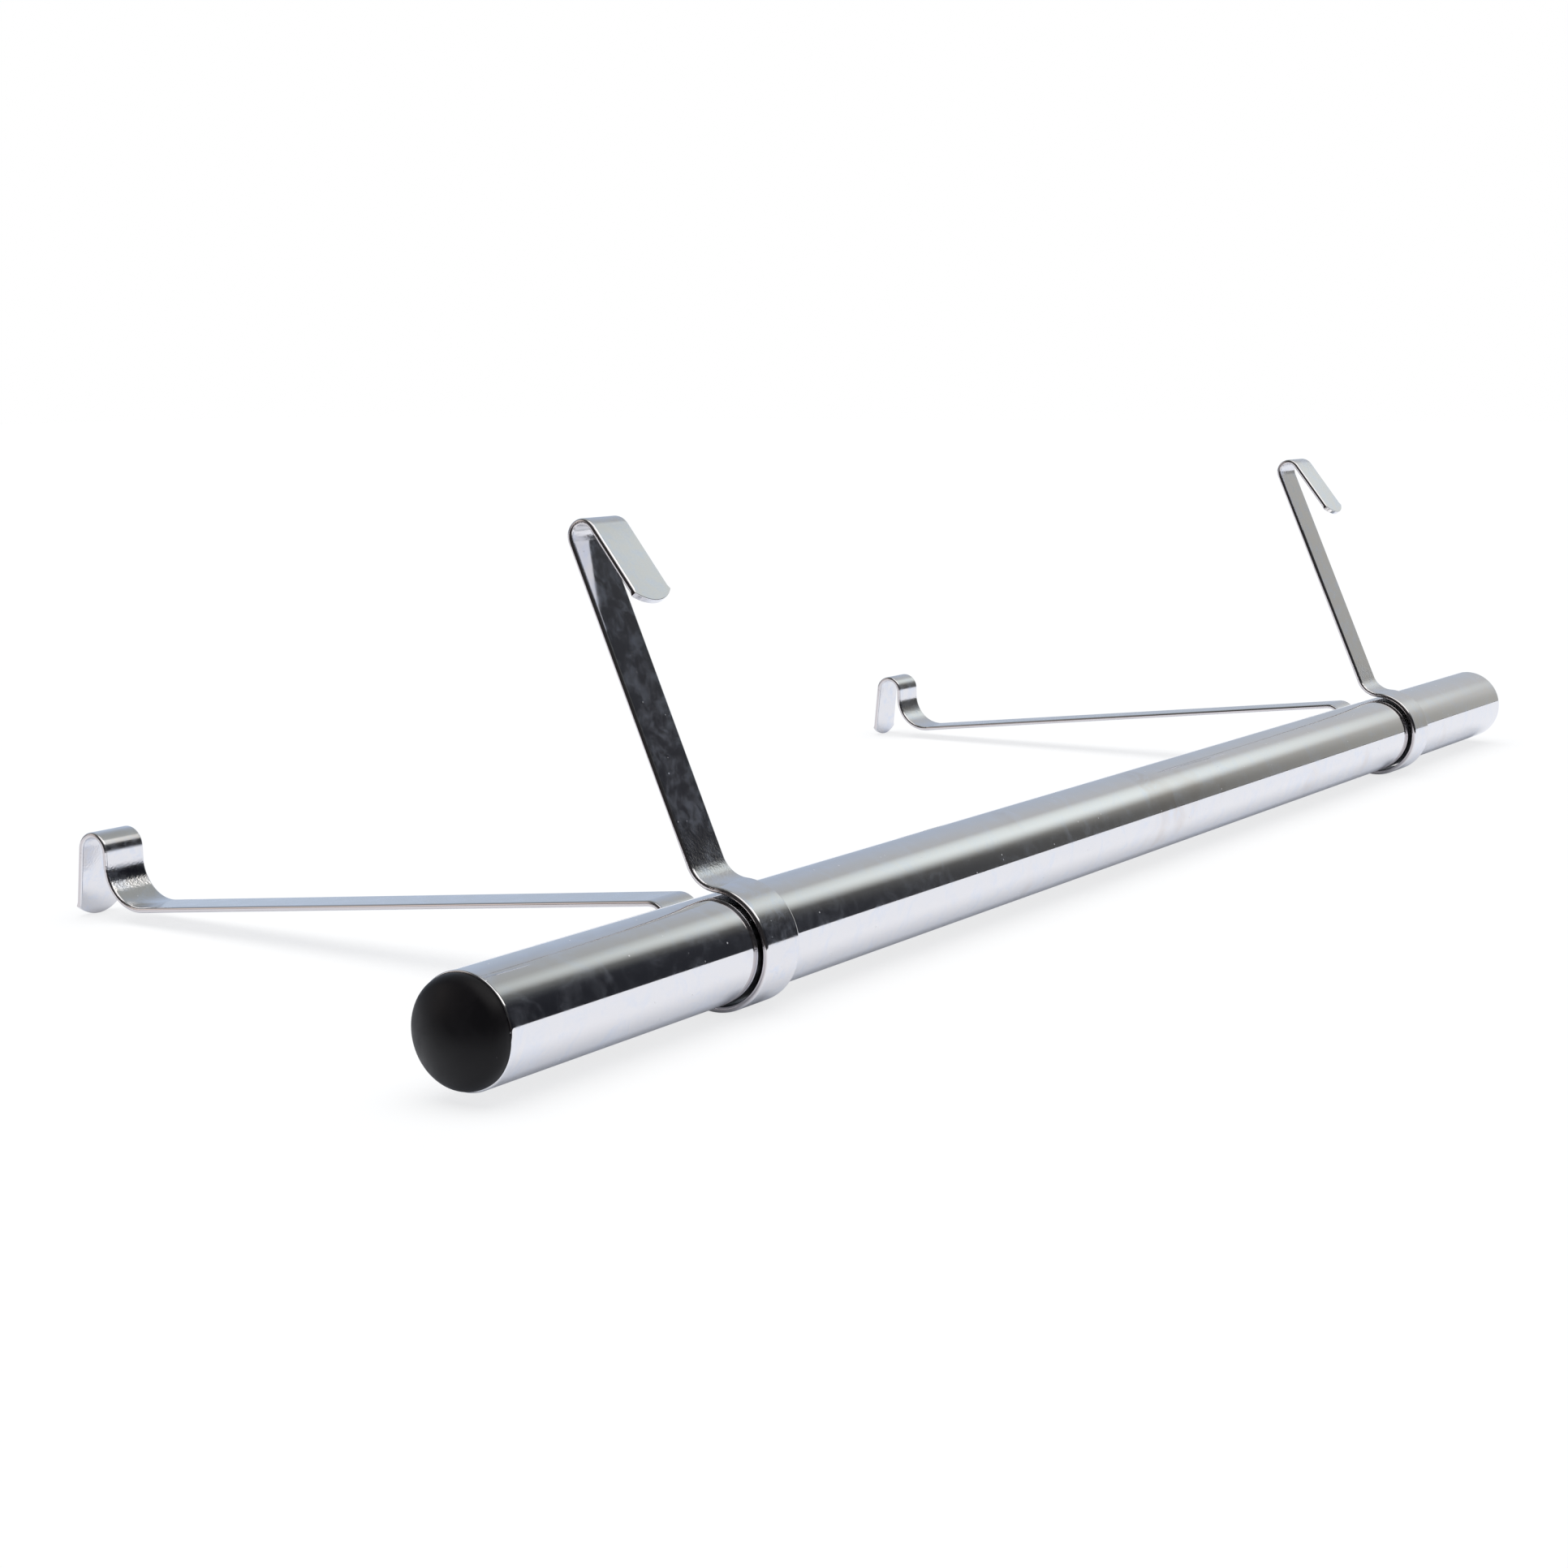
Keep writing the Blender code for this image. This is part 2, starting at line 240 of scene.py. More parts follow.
class Nodes:
    """Short calls for building a node tree."""

    # Sockets for colours on a mix node, which come after those for numbers and vectors
    MIX_FIRST = 6
    MIX_SECOND = 7
    MIX_RESULT = 2

    def __init__(self, tree):
        self.tree = tree

    def add(self, kind, *values, **settings):
        """A node with its settings, and with values for its first sockets."""
        made = self.tree.nodes.new(kind)
        for name, value in settings.items():
            setattr(made, name, value)
        for socket, value in zip(made.inputs, values):
            self.plug(socket, value)
        return made

    def plug(self, socket, value):
        """Link a socket to another one, or set its value."""
        if isinstance(value, bpy.types.NodeSocket):
            self.tree.links.new(value, socket)
        else:
            socket.default_value = value

    def wire(self, made, values):
        """Link or set some of a node's sockets by name."""
        for name, value in values.items():
            self.plug(made.inputs[name], value)

    def math(self, operation, *values):
        """Result of a sum on one to three values."""
        return self.add("ShaderNodeMath", *values, operation=operation).outputs[0]

    def raised(self, base, by, share):
        """A base value plus a share of another value."""
        return self.math("MULTIPLY_ADD", by, share, base)

    def vector(self, operation, *values):
        """Vector that results from a sum on one or two vectors."""
        return self.add("ShaderNodeVectorMath", *values, operation=operation).outputs["Vector"]

    def measure(self, operation, *values):
        """Number that results from a sum on one or two vectors."""
        return self.add("ShaderNodeVectorMath", *values, operation=operation).outputs["Value"]

    def parts(self, vector):
        """The three numbers of a vector."""
        return self.add("ShaderNodeSeparateXYZ", vector).outputs

    def span(self, value, low, high, to_low=0.0, to_high=1.0):
        """Value eased from one range to another and held there at both ends."""
        values = (value, low, high, to_low, to_high)
        return self.add("ShaderNodeMapRange", *values, interpolation_type="SMOOTHSTEP").outputs[0]

    def blend(self, share, first, second):
        """Colour between two colours."""
        made = self.add("ShaderNodeMix", share, data_type="RGBA")
        self.plug(made.inputs[self.MIX_FIRST], first)
        self.plug(made.inputs[self.MIX_SECOND], second)
        return made.outputs[self.MIX_RESULT]

    def mix_shader(self, share, first, second):
        """Shader between two shaders."""
        return self.add("ShaderNodeMixShader", share, first, second).outputs[0]

    def coloured(self, kind, colour, **values):
        """Shader of a plain kind with a colour, and with values for other sockets."""
        made = self.add(kind)
        self.wire(made, {"Color": colour, **values})
        return made.outputs[0]

    def ramp(self, value, stops):
        """Colour by value, from (position, colour) stops in order."""
        made = self.add("ShaderNodeValToRGB", value)
        elements = made.color_ramp.elements
        elements[0].position = stops[0][0]
        elements[1].position = stops[-1][0]
        for position, _ in stops[1:-1]:
            elements.new(position)
        for element, (_, colour) in zip(elements, stops):
            element.color = (*colour, 1.0)
        return made.outputs[0]

    def noise(self, place, scale, detail=3.0, roughness=0.55, distortion=0.0):
        """Cloudy noise from 0 to 1."""
        made = self.add("ShaderNodeTexNoise")
        self.wire(made, {
            "Vector": place,
            "Scale": scale,
            "Detail": detail,
            "Roughness": roughness,
            "Distortion": distortion,
        })
        return made.outputs["Fac"]

    def specks(self, place, scale, size, share):
        """Small round dots in a share of the cells of a grid with that scale."""
        cells = self.add("ShaderNodeTexVoronoi", feature="F1")
        self.wire(cells, {"Vector": place, "Scale": scale})
        dot = self.span(cells.outputs["Distance"], size, size * SPECK_CORE)
        chance = self.add("ShaderNodeSeparateColor", cells.outputs["Color"]).outputs[0]
        return self.math("MULTIPLY", dot, self.math("LESS_THAN", chance, share))

    def bump(self, height, strength, distance):
        """Normal from a height."""
        made = self.add("ShaderNodeBump")
        self.wire(made, {"Strength": strength, "Distance": distance, "Height": height})
        return made.outputs["Normal"]


def new_material(name):
    """An empty Principled material, its node calls, its shader and its place on the piece."""
    made = bpy.data.materials.new(name)
    made.use_nodes = True
    nodes = Nodes(made.node_tree)
    shader = made.node_tree.nodes["Principled BSDF"]
    place = nodes.add("ShaderNodeTexCoord").outputs["Object"]
    return made, nodes, shader, place


def chrome_finish():
    """Polished chrome plate with finger smudges, a dusty haze, specks and fine wiping marks."""
    made, nodes, shader, place = new_material("chrome_plate")
    haze = nodes.noise(place, scale=120.0, detail=6.0, roughness=0.66, distortion=0.9)
    haze = nodes.span(haze, low=0.44, high=0.74)
    stain = nodes.noise(place, scale=34.0, detail=3.0, roughness=0.5, distortion=0.5)
    stain = nodes.span(stain, low=0.58, high=0.72)
    wiped = nodes.noise(nodes.vector("MULTIPLY", place, WIPING_SCALES), scale=1.0, detail=4.0)
    dust = nodes.specks(place, scale=420.0, size=0.12, share=0.20)
    rough = nodes.raised(CHROME_ROUGHNESS, by=haze, share=0.06)
    rough = nodes.raised(rough, by=wiped, share=0.03)
    rough = nodes.raised(rough, by=dust, share=0.4)
    metal = nodes.raised(METALLIC, by=haze, share=-0.060)
    metal = nodes.raised(metal, by=dust, share=-0.45)
    tint = nodes.blend(stain, CHROME_CLEAN, CHROME_STAINED)
    tint = nodes.blend(haze, tint, CHROME_HAZY)
    normal = nodes.bump(wiped, strength=0.02, distance=MARK_DEPTH)
    nodes.wire(shader, {"Base Color": tint, "Metallic": metal, "Roughness": rough, "Normal": normal})
    return made


def strip_finish():
    """Bright plated strip: more satin than the tube, with rolling lines and cloudy dust.

    Grain shows inside its bends, and its sheared edges are duller. The inside of its loop is dark: partly
    rub wear where the plate is thin and the tube rubs, and partly painted shade in the gap against the
    tube.
    """
    made, nodes, shader, place = new_material("bright_strip")
    rolled = nodes.noise(nodes.vector("MULTIPLY", place, ROLLING_SCALES), scale=1.0, detail=3.0)
    dust = nodes.specks(place, scale=620.0, size=0.12, share=0.16)
    facing = nodes.parts(nodes.add("ShaderNodeNewGeometry").outputs["Normal"])
    aside = nodes.math("ABSOLUTE", facing[0])
    sheared = nodes.span(aside, low=0.60, high=0.97)
    cloud = nodes.noise(place, scale=240.0, detail=5.0, roughness=0.66, distortion=0.5)
    cloud = nodes.span(cloud, low=0.42, high=0.70)
    cloud = nodes.math("MULTIPLY", cloud, nodes.span(aside, low=0.60, high=0.20))
    from_axis = nodes.vector("MULTIPLY", nodes.vector("SUBTRACT", place, TUBE_AXIS), (0.0, 1.0, 1.0))
    # Painted shade in the gap against the tube, with rub wear: 1 on the inside of the loop, fading outwards
    worn_and_shaded = nodes.span(
        nodes.measure("LENGTH", from_axis),
        low=LOOP_INNER_RADIUS + WORN_AND_SHADED_FADE,
        high=LOOP_INNER_RADIUS + WORN_AND_SHADED_DEPTH,
    )
    bent = nodes.add("ShaderNodeAttribute", attribute_name=BEND_LAYER).outputs["Fac"]
    rough = nodes.raised(STRIP_ROUGHNESS, by=cloud, share=0.05)
    rough = nodes.raised(rough, by=rolled, share=0.04)
    rough = nodes.raised(rough, by=nodes.math("MULTIPLY", bent, bent), share=0.12)
    rough = nodes.raised(rough, by=worn_and_shaded, share=0.25)
    rough = nodes.raised(rough, by=dust, share=0.3)
    metal = nodes.raised(METALLIC, by=cloud, share=-0.080)
    metal = nodes.raised(metal, by=dust, share=-0.35)
    tint = nodes.blend(cloud, STRIP_CLEAN, STRIP_CLOUDY)
    tint = nodes.blend(sheared, tint, STRIP_SHEARED)
    tint = nodes.blend(worn_and_shaded, tint, STRIP_WORN_AND_SHADED)
    grain = nodes.noise(place, scale=1500.0, detail=3.0, roughness=0.6)
    creased = nodes.math("MINIMUM", nodes.math("MAXIMUM", bent, 0.0), CREASE_LIMIT)
    height = nodes.math("MULTIPLY", grain, nodes.math("MULTIPLY", creased, GRAIN_HEIGHT))
    height = nodes.raised(height, by=rolled, share=ROLLING_HEIGHT)
    normal = nodes.bump(height, strength=0.15, distance=MARK_DEPTH)
    nodes.wire(shader, {"Base Color": tint, "Metallic": metal, "Roughness": rough, "Normal": normal})
    return made


def plastic_finish():
    """Black moulded plastic with a fine satin grain, handling marks and a little dust."""
    made, nodes, shader, place = new_material("black_plastic")
    rubbed = nodes.noise(place, scale=160.0, detail=4.0, roughness=0.6, distortion=0.6)
    dust = nodes.specks(place, scale=700.0, size=0.12, share=0.06)
    rough = nodes.span(rubbed, *RUBBED_RANGE, *PLASTIC_ROUGHNESS)
    tint = nodes.ramp(rubbed, list(zip(RUBBED_RANGE, (PLASTIC_DARK, PLASTIC_RUBBED))))
    tint = nodes.blend(dust, tint, PLASTIC_DUSTY)
    grain = nodes.noise(place, scale=2600.0, detail=2.0)
    normal = nodes.bump(grain, strength=0.10, distance=PLASTIC_GRAIN_DEPTH)
    nodes.wire(shader, {"Base Color": tint, "Roughness": rough, "Normal": normal})
    shader.inputs["Specular IOR Level"].default_value = PLASTIC_SPECULAR
    return made


def add_object(name, shape, finish):
    """Turn a bmesh into an object of the scene with that finish."""
    mesh = bpy.data.meshes.new(name)
    shape.to_mesh(mesh)
    shape.free()
    mesh.materials.append(finish)
    made = bpy.data.objects.new(name, mesh)
    bpy.context.scene.collection.objects.link(made)
    return made


def add_piece(name, shape, finish, body, node):
    """Turn a bmesh in the frame into a smooth piece that stands for a node and rides on its body."""
    bmesh.ops.recalc_face_normals(shape, faces=shape.faces)
    made = add_object(name, shape, finish)
    made.data.shade_smooth()
    made.data.set_sharp_from_angle(angle=SHARP_ANGLE)
    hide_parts(node)
    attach(made, body)
    return made


def turned(profile, closed):
    """Spin a profile of (distance along X, radius) points about the X axis."""
    shape = bmesh.new()
    points = [shape.verts.new((along, 0.0, radius)) for along, radius in profile]
    edges = [shape.edges.new(pair) for pair in zip(points, points[1:])]
    if closed:
        edges.append(shape.edges.new((points[-1], points[0])))
    bmesh.ops.spin(
        shape,
        geom=points + edges,
        cent=(0.0, 0.0, 0.0),
        axis=(1.0, 0.0, 0.0),
        angle=math.tau,
        steps=ROUND_SEGMENTS,
    )
    bmesh.ops.remove_doubles(shape, verts=shape.verts, dist=SEAM_MERGE)
    return shape


def arc(centre, radius, start, end, steps):
    """Points of an arc about a centre, both ends included."""
    angles = [start + (end - start) * step / steps for step in range(steps + 1)]
    return [(centre[0] + radius * math.cos(a), centre[1] + radius * math.sin(a)) for a in angles]


def tube_profile():
    """Section of the tube's wall with rounded rims.

    A ring near each rim keeps the shading straight between them.
    """
    quarter = math.pi / 2
    rim_x = TUBE_HALF - RIM_RADIUS
    outer = arc((rim_x, TUBE_RADIUS - RIM_RADIUS), RIM_RADIUS, quarter, 0.0, RIM_SEGMENTS)
    inner = arc((rim_x, BORE_RADIUS + RIM_RADIUS), RIM_RADIUS, 0.0, -quarter, RIM_SEGMENTS)
    right_rim = [(rim_x - RIM_RUN, TUBE_RADIUS)] + outer + inner + [(rim_x - RIM_RUN, BORE_RADIUS)]
    return right_rim + [(-along, radius) for along, radius in reversed(right_rim)]


def dome_profile(height):
    """Head of a plug from apex to seat: a wide arc, a tighter edge arc and a short straight skirt."""
    edge = DOME_EDGE_RADIUS
    seat = TUBE_RADIUS - HEAD_STEP
    edge_r = seat - edge
    rise = height - DOME_SKIRT
    crown = (rise**2 + edge_r**2 - edge**2) / (2 * (rise - edge))
    crown_x = height - crown
    join = math.atan2(edge_r, DOME_SKIRT - crown_x)
    wide = arc((crown_x, 0.0), crown, 0.0, join, ARC_SEGMENTS)
    tight = arc((DOME_SKIRT, edge_r), edge, join, math.pi / 2, ARC_SEGMENTS)
    return wide + tight[1:] + [(0.0, seat)]


def plug_profile(head, stem):
    """Half section of a plug with a dome of that height and a ribbed hollow stem of that length."""
    crest = BORE_RADIUS - PLUG_FIT_GAP
    root = crest - RIB_HEIGHT
    hollow = root - STEM_WALL
    points = dome_profile(head)
    points.append((0.0, root))
    for rib in range(int((stem - STEM_LEAD_IN) / RIB_PITCH)):
        top = -rib * RIB_PITCH - RIB_SPACE
        points += [(top, root), (top, crest), (top - RIB_LAND, crest), (-(rib + 1) * RIB_PITCH, root)]
    points += [
        (STEM_LEAD_IN - stem, root),
        (-stem, root - STEM_WALL / 2),
        (-stem, hollow),
        (0.0, hollow),
        (0.0, 0.0),
    ]
    return points


class StripPath:
    """Middle line of the strip in the YZ plane, drawn from the loop as straight runs and bends.

    Each station on it has its place, its heading and how sharply the strip is bent there.
    """

    def __init__(self, angle, heading):
        """Start on the loop, at an angle round the tube, going the way of the heading."""
        start = (LOOP_RADIUS * math.cos(angle), LOOP_RADIUS * math.sin(angle))
        self.stations = [(start, heading, 0.0)]

    @property
    def heading(self):
        """Heading at the end of the line."""
        return self.stations[-1][1]

    def beyond(self, distance):
        """Place that far straight on from the end."""
        (y, z), heading, _ = self.stations[-1]
        return y + distance * math.cos(heading), z + distance * math.sin(heading)

    def run(self, length):
        """Go straight on, in short steps."""
        steps = math.ceil(length / RUN_STEP)
        for place in [self.beyond(length * step / steps) for step in range(1, steps + 1)]:
            self.stations.append((place, self.heading, 0.0))

    def bend(self, inside_radius, turn):
        """Turn left for a positive angle and right for a negative one, round an inside radius."""
        radius = math.copysign(inside_radius + STRIP_THICKNESS / 2, turn)
        (y, z), heading, _ = self.stations[-1]
        centre_y = y - radius * math.sin(heading)
        centre_z = z + radius * math.cos(heading)
        sharpness = math.copysign(min(1.0, GRAIN_RADIUS / inside_radius), turn)
        steps = math.ceil(abs(turn) / BEND_STEP)
        for step in range(1, steps + 1):
            angle = heading + turn * step / steps
            place = (centre_y + radius * math.sin(angle), centre_z - radius * math.cos(angle))
            self.stations.append((place, angle, sharpness))


def upper_branch():
    """From the top of the loop, up the arm and over the upper hook to its tip."""
    base = UPPER_BASE_RADIUS + STRIP_THICKNESS / 2
    swing = math.asin((UPPER_ARM_OFFSET + base) / (LOOP_RADIUS + base))
    leave = ARM_SPREAD + swing
    path = StripPath(leave, leave - math.pi / 2)
    path.bend(UPPER_BASE_RADIUS, ARM_SPREAD - path.heading)
    path.run(UPPER_ARM_REACH - (LOOP_RADIUS + base) * math.cos(swing))
    path.bend(UPPER_HOOK_RADIUS, UPPER_HOOK_TURN)
    path.run(UPPER_LEG - TIP_RUN)
    path.run(TIP_RUN)
    return leave, path


def rear_branch():
    """From the back of the loop, along the arm, up the elbow and over the rear hook to its tip."""
    base = REAR_BASE_RADIUS + STRIP_THICKNESS / 2
    leave = math.asin((REAR_ARM_HEIGHT - base) / (LOOP_RADIUS + base))
    path = StripPath(leave, leave + math.pi / 2)
    path.bend(REAR_BASE_RADIUS, -path.heading)
    path.run(REAR_ARM_REACH - (LOOP_RADIUS + base) * math.cos(leave))
    path.bend(REAR_ELBOW_RADIUS, REAR_ELBOW_TURN)
    path.run(REAR_RISER)
    path.bend(REAR_HOOK_RADIUS, -REAR_HOOK_TURN)
    path.run(REAR_LEG - TIP_RUN)
    path.run(TIP_RUN)
    return leave, path


def rest_swing(rear):
    """Angle that swings the hanger until its rear tip is level with the bottom of its loop."""
    end_y, end_z = rear.beyond(TIP_CROWN)
    half = STRIP_THICKNESS / 2
    swings = []
    for side in (-half, half):
        corner_y = end_y - side * math.sin(rear.heading)
        corner_z = end_z + side * math.cos(rear.heading)
        level = math.asin(-LOOP_OUTER_RADIUS / math.hypot(corner_y, corner_z))
        swings.append(level - math.atan2(corner_z, corner_y))
    return max(swings)


def tip_outline(half):
    """Half outline of a crowned tip, from its apex out to the strip's side.

    Each point is its distance from the middle line, its distance beyond the end of the leg, and the
    angle of the edge's outward direction, which is 0 along the leg and a quarter turn at the side.
    """
    crown = (half**2 + TIP_CROWN**2) / (2 * TIP_CROWN)
    corner = TIP_CORNER_RADIUS
    crown_end = math.asin((half - corner) / (crown - corner))
    corner_along = TIP_CROWN - crown + (crown - corner) * math.cos(crown_end)
    outline = []
    for step in range(TIP_SEGMENTS):
        angle = crown_end * (step + 0.5) / TIP_SEGMENTS
        outline.append((crown * math.sin(angle), TIP_CROWN - crown + crown * math.cos(angle), angle))
    for step in range(CORNER_SEGMENTS + 1):
        angle = crown_end + (math.pi / 2 - crown_end) * step / CORNER_SEGMENTS
        across = half - corner + corner * math.sin(angle)
        outline.append((across, corner_along + corner * math.cos(angle), angle))
    return outline


def strip_rows(half):
    """Rows along the strip from tip to tip, and the swing that brings the hanger to rest.

    Each row has the strip's half width, its place and heading, the angle and the radius of its edge,
    and how sharply the strip is bent there, which is above 0 for a bend to the left.
    """
    upper_leave, upper = upper_branch()
    rear_leave, rear = rear_branch()
    loop = StripPath(upper_leave, upper_leave + math.pi / 2)
    loop.bend(LOOP_INNER_RADIUS, rear_leave + math.tau - upper_leave)
    rows = []
    for across, along, angle in tip_outline(half):
        y, z = upper.beyond(along)
        rows.append((across, y, z, upper.heading + math.pi, math.pi - angle, TIP_EDGE_RADIUS, 0.0))
    for (y, z), heading, bent in reversed(upper.stations[:-1]):
        rows.append((half, y, z, heading + math.pi, math.pi / 2, STRIP_EDGE_RADIUS, -bent))
    for (y, z), heading, bent in loop.stations[1:-1] + rear.stations[:-1]:
        rows.append((half, y, z, heading, math.pi / 2, STRIP_EDGE_RADIUS, bent))
    for across, along, angle in reversed(tip_outline(half)):
        y, z = rear.beyond(along)
        rows.append((across, y, z, rear.heading, angle, TIP_EDGE_RADIUS, 0.0))
    return rows, rest_swing(rear)


def edge_rings(radius):
    """Steps round an edge of that radius: inset from the outline, height off the middle and tilt."""
    flat = STRIP_THICKNESS / 2 - radius
    quarter = math.pi / 2
    rings = []
    for start, side in ((quarter, 1), (0.0, -1)):
        for step in range(EDGE_SEGMENTS + 1):
            tilt = start - quarter * step / EDGE_SEGMENTS
            rings.append((radius * (1 - math.cos(tilt)), side * flat + radius * math.sin(tilt), tilt))
    return rings


def add_skin(shape, points, last_ring, last_row):
    """Faces over a strip's points, which are kept by side, ring and row: edges, broad faces and tips."""

    def face(*corners):
        """One face between points."""
        shape.faces.new([points[corner] for corner in corners])

    for row in range(last_row):
        ahead = row + 1
        for side in (-1, 1):
            for ring in range(last_ring):
                below = ring + 1
                face((side, ring, row), (side, below, row), (side, below, ahead), (side, ring, ahead))
        for ring in (0, last_ring):
            face((-1, ring, row), (1, ring, row), (1, ring, ahead), (-1, ring, ahead))
    for row in (0, last_row):
        for ring in range(last_ring):
            below = ring + 1
            face((-1, ring, row), (1, ring, row), (1, below, row), (-1, below, row))


def hanger_shape(width):
    """A hanger about the tube's axis, swung to rest.

    With it come each point's exact normal and how sharply the strip is bent there, above 0 on the inner
    side of a bend.
    """
    rows, swing = strip_rows(width / 2)
    rest = Matrix.Rotation(swing, 3, "X")
    shape = bmesh.new()
    points = {}
    normals = []
    bends = []
    for side in (-1, 1):
        for row, (half, y, z, heading, angle, radius, bent) in enumerate(rows):
            ahead = Vector((0.0, math.cos(heading), math.sin(heading)))
            face = Vector((0.0, -math.sin(heading), math.cos(heading)))
            edge = Vector((side * math.sin(angle), 0.0, 0.0)) + ahead * math.cos(angle)
            for ring, (inset, height, tilt) in enumerate(edge_rings(radius)):
                place = Vector((side * half, y, z)) - edge * inset + face * height
                points[side, ring, row] = shape.verts.new(rest @ place)
                normals.append(rest @ (edge * math.cos(tilt) + face * math.sin(tilt)))
                bends.append(math.copysign(bent, bent * height))
    add_skin(shape, points, last_ring=2 * EDGE_SEGMENTS + 1, last_row=len(rows) - 1)
    return shape, normals, bends


def build_tube(finish):
    """The tube."""
    shape = turned(tube_profile(), closed=True)
    bmesh.ops.translate(shape, vec=TUBE_AXIS, verts=shape.verts)
    add_piece("chrome_tube", shape, finish, "rod", "rod_tube")


def build_plug(name, node, side, finish):
    """One end plug, its head seated on the tube's rim. Side is -1 at the left end and 1 at the right."""
    low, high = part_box(node)
    seat = TUBE_HALF + PLUG_SEAT_GAP
    reach = max(abs(low.x), abs(high.x)) - seat
    stem = seat - min(abs(low.x), abs(high.x))
    shape = turned(plug_profile(reach, stem), closed=False)
    if side < 0:
        bmesh.ops.rotate(shape, matrix=Matrix.Rotation(math.pi, 3, "Z"), verts=shape.verts)
    bmesh.ops.translate(shape, vec=TUBE_AXIS + Vector((side * seat, 0.0, 0.0)), verts=shape.verts)
    add_piece(name, shape, finish, "rod", node)


def build_hanger(name, node, finish):
    """One hanger, a strip bent round the tube."""
    low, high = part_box(node)
    shape, normals, bends = hanger_shape(high.x - low.x)
    place = Vector(((low.x + high.x) / 2, TUBE_AXIS.y, TUBE_AXIS.z))
    bmesh.ops.translate(shape, vec=place, verts=shape.verts)
    made = add_piece(name, shape, finish, node, node)
    made.data.normals_split_custom_set_from_vertices(normals)
    made.data.attributes.new(BEND_LAYER, "FLOAT", "POINT").data.foreach_set("value", bends)


def build_camera():
    """Camera at the photograph's place."""
    ahead = Vector((
        math.sin(CAMERA_YAW) * math.cos(CAMERA_PITCH),
        math.cos(CAMERA_YAW) * math.cos(CAMERA_PITCH),
        -math.sin(CAMERA_PITCH),
    ))
    level = Vector((math.cos(CAMERA_YAW), -math.sin(CAMERA_YAW), 0.0))
    upright = level.cross(ahead)
    right = level * math.cos(CAMERA_ROLL) + upright * math.sin(CAMERA_ROLL)
    up = upright * math.cos(CAMERA_ROLL) - level * math.sin(CAMERA_ROLL)
    data = bpy.data.cameras.new("camera")
    data.lens = CAMERA_LENS
    data.sensor_width = SENSOR_WIDTH
    data.clip_start = CAMERA_NEAR
    made = bpy.data.objects.new("camera", data)
    turn = Matrix((right, up, -ahead)).transposed().to_4x4()
    made.matrix_world = Matrix.Translation(CAMERA_PLACE) @ turn
    bpy.context.scene.collection.objects.link(made)
    bpy.context.scene.camera = made


def stage_material(name):
    """An empty material for the stage, and its node calls."""
    made = bpy.data.materials.new(name)
    made.use_nodes = True
    nodes = Nodes(made.node_tree)
    nodes.tree.nodes.clear()
    return made, nodes


def add_stage(name, shape, finish):
    """Turn a bmesh into an object that stands round the rod, attached to no body."""
    made = add_object(name, shape, finish)
    return made


def off_table(nodes):
    """Where the floor lies beyond the mirrored table: 1 past its left or front edge and 0 on it.

    The left edge ends at a slanted corner, behind which the table goes on.
    """
    x, y, _ = nodes.parts(nodes.add("ShaderNodeTexCoord").outputs["Object"])
    past_corner = nodes.raised(y, by=nodes.math("SUBTRACT", x, TABLE_LEFT), share=TABLE_SLANT)
    off_left = nodes.math(
        "MULTIPLY",
        nodes.span(x, TABLE_LEFT, TABLE_LEFT - TABLE_SOFTNESS),
        nodes.span(past_corner, TABLE_CORNER + TABLE_SOFTNESS, TABLE_CORNER),
    )
    off_front = nodes.span(y, TABLE_FRONT, TABLE_FRONT - TABLE_SOFTNESS)
    return nodes.math("MAXIMUM", off_left, off_front)


def floor_finish():
    """White floor that keeps the rod's shadow.

    In the metal it is a table top whose glow dims close to the rod, a painted contact shadow, with the dim
    studio beyond its edges.
    """
    made, nodes = stage_material("floor_white")
    path = nodes.add("ShaderNodeLightPath").outputs
    seen = path["Is Camera Ray"]
    lit = nodes.coloured("ShaderNodeBsdfDiffuse", nodes.blend(seen, FLOOR_MIRRORED, FLOOR_SEEN))
    # Painted contact shadow: ambient occlusion dims the glow that the metal mirrors close to the rod
    painted_contact_shadow = nodes.add("ShaderNodeAmbientOcclusion", samples=PAINTED_SHADOW_SAMPLES)
    nodes.wire(painted_contact_shadow, {"Distance": PAINTED_SHADOW_REACH})
    bright = nodes.coloured(
        "ShaderNodeEmission",
        nodes.blend(seen, FLOOR_GLOW_COLOUR, WHITE),
        Strength=nodes.math("MAXIMUM", seen, painted_contact_shadow.outputs["AO"]),
    )
    glow = nodes.span(seen, 0.0, 1.0, FLOOR_GLOW_MIRRORED, FLOOR_GLOW_SEEN)
    white = nodes.mix_shader(glow, lit, bright)
    beyond = nodes.math("MULTIPLY", path["Is Glossy Ray"], off_table(nodes))
    dim = nodes.coloured("ShaderNodeEmission", BEYOND_TABLE)
    nodes.add("ShaderNodeOutputMaterial", nodes.mix_shader(beyond, white, dim))
    return made


def build_floor():
    """Wide flat floor under the rod."""
    shape = bmesh.new()
    bmesh.ops.create_grid(shape, x_segments=1, y_segments=1, size=FLOOR_HALF)
    add_stage("floor", shape, floor_finish())


def build_light():
    """Wide soft light from above. The metal doesn't mirror it: what it mirrors is the studio."""
    data = bpy.data.lights.new("soft_light", "SUN")
    data.energy = LIGHT_STRENGTH
    data.color = LIGHT_COLOUR
    data.angle = LIGHT_ANGLE
    made = bpy.data.objects.new("soft_light", data)
    made.visible_glossy = False
    bpy.context.scene.collection.objects.link(made)


def disc(nodes, direction, azimuth, elevation, inner, outer):
    """Soft disc about a direction: 1 inside one radius and 0 outside another."""
    centre = (
        math.cos(azimuth) * math.cos(elevation),
        math.sin(azimuth) * math.cos(elevation),
        math.sin(elevation),
    )
    return nodes.span(nodes.measure("DOT_PRODUCT", direction, centre), math.cos(outer), math.cos(inner))


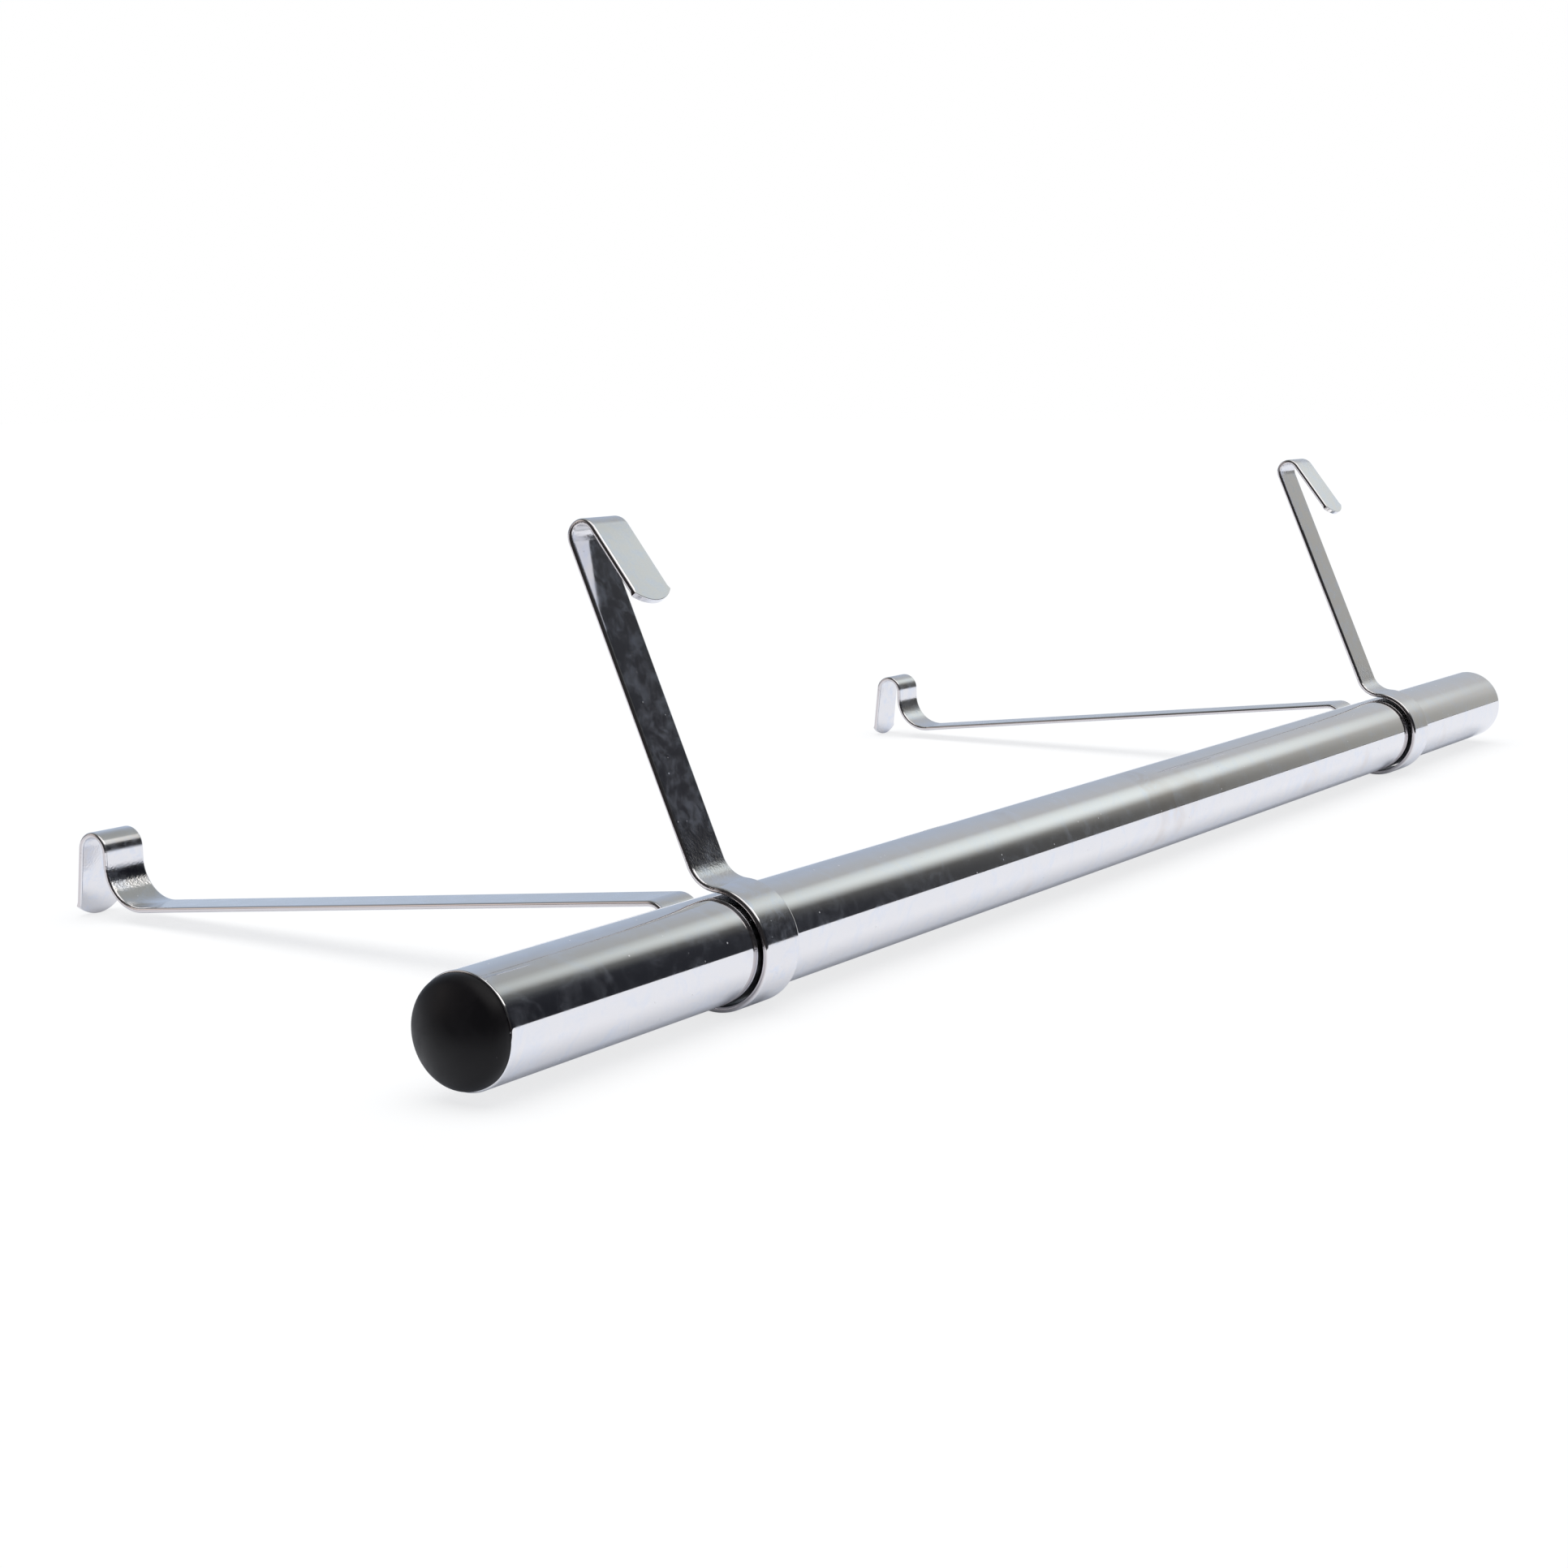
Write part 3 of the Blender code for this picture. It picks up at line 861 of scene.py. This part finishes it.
def window(nodes, value, low, high, softness):
    """Soft-edged range: 1 between two values and 0 beyond them."""
    above = nodes.span(value, low - softness / 2, low + softness / 2)
    below = nodes.span(value, high + softness / 2, high - softness / 2)
    return nodes.math("MULTIPLY", above, below)


def studio_colour(nodes):
    """Colour of the studio by direction.

    The wall is dark in front, pale on the right and blue behind, and has a glow on its right side. The
    ceiling is grey. Over them lie a softbox, a warm patch and a long lamp.
    """
    direction = nodes.vector("NORMALIZE", nodes.add("ShaderNodeTexCoord").outputs["Object"])
    x, y, z = nodes.parts(direction)
    azimuth = nodes.math("ARCTAN2", y, x)
    elevation = nodes.math("ARCSINE", z)
    lean = nodes.raised(azimuth, by=elevation, share=-WALL_LEAN)
    turn = nodes.raised(0.5, by=lean, share=1 / math.tau)
    wall = nodes.ramp(turn, [(degrees / 360 + 0.5, colour) for degrees, colour in WALL])
    glow = disc(nodes, direction, WALL_GLOW_AZIMUTH, WALL_GLOW_ELEVATION, 0.0, WALL_GLOW_RADIUS)
    glow = nodes.math("MULTIPLY", glow, nodes.span(lean, WALL_GLOW_FROM, WALL_GLOW_TO))
    wall = nodes.blend(glow, wall, WALL_GLOW)
    ceiling = nodes.blend(nodes.span(x, *CEILING_SIDES), CEILING, CEILING_LEFT)
    studio = nodes.blend(nodes.span(elevation, CEILING_FROM, CEILING_TO), wall, ceiling)
    softbox = disc(nodes, direction, SOFTBOX_AZIMUTH, SOFTBOX_ELEVATION, SOFTBOX_CORE, SOFTBOX_RADIUS)
    studio = nodes.blend(softbox, studio, SOFTBOX)
    warm = disc(nodes, direction, WARM_AZIMUTH, WARM_ELEVATION, WARM_CORE, WARM_RADIUS)
    studio = nodes.blend(warm, studio, WARM)
    tilt = nodes.math("ARCTAN2", z, nodes.math("MULTIPLY", y, -1.0))
    lamp = nodes.math(
        "MULTIPLY",
        window(nodes, x, *LAMP_REACH, LAMP_REACH_SOFTNESS),
        window(nodes, tilt, *LAMP_TILT, LAMP_TILT_SOFTNESS),
    )
    return nodes.blend(lamp, studio, LAMP)


def build_studio():
    """The round wall and ceiling of the studio, which the metal mirrors and the view looks past."""
    finish, nodes = stage_material("studio_wall")
    glow = nodes.coloured("ShaderNodeEmission", studio_colour(nodes))
    nodes.add("ShaderNodeOutputMaterial", glow)
    finish.cycles.emission_sampling = "NONE"
    shape = bmesh.new()
    bmesh.ops.create_uvsphere(
        shape, u_segments=STUDIO_FACETS, v_segments=STUDIO_FACETS // 2, radius=STUDIO_RADIUS
    )
    made = add_stage("studio", shape, finish)
    made.visible_camera = False
    made.visible_diffuse = False
    made.visible_shadow = False


def build_world():
    """White for the view and for what metal or glass shows of it, and an even soft light on the rest."""
    world = bpy.data.worlds.new("white")
    bpy.context.scene.world = world
    world.use_nodes = True
    nodes = Nodes(world.node_tree)
    nodes.tree.nodes.clear()
    path = nodes.add("ShaderNodeLightPath").outputs
    shown = nodes.math("MAXIMUM", path["Is Glossy Ray"], path["Is Transmission Ray"])
    shown = nodes.math("MAXIMUM", path["Is Camera Ray"], shown)
    soft = nodes.coloured("ShaderNodeBackground", AMBIENT)
    white = nodes.coloured("ShaderNodeBackground", WHITE)
    nodes.add("ShaderNodeOutputWorld", nodes.mix_shader(shown, soft, white))


def build():
    """The whole rod, and what stands round it."""
    build_tube(chrome_finish())
    plastic = plastic_finish()
    build_plug("left_plug", "left_end_cap", -1, plastic)
    build_plug("right_plug", "right_end_cap", 1, plastic)
    strip = strip_finish()
    build_hanger("left_strip", "left_hanger", strip)
    build_hanger("right_strip", "right_hanger", strip)
    build_camera()
    build_floor()
    build_light()
    build_studio()
    build_world()
    bpy.context.scene.view_settings.view_transform = "Standard"


build()
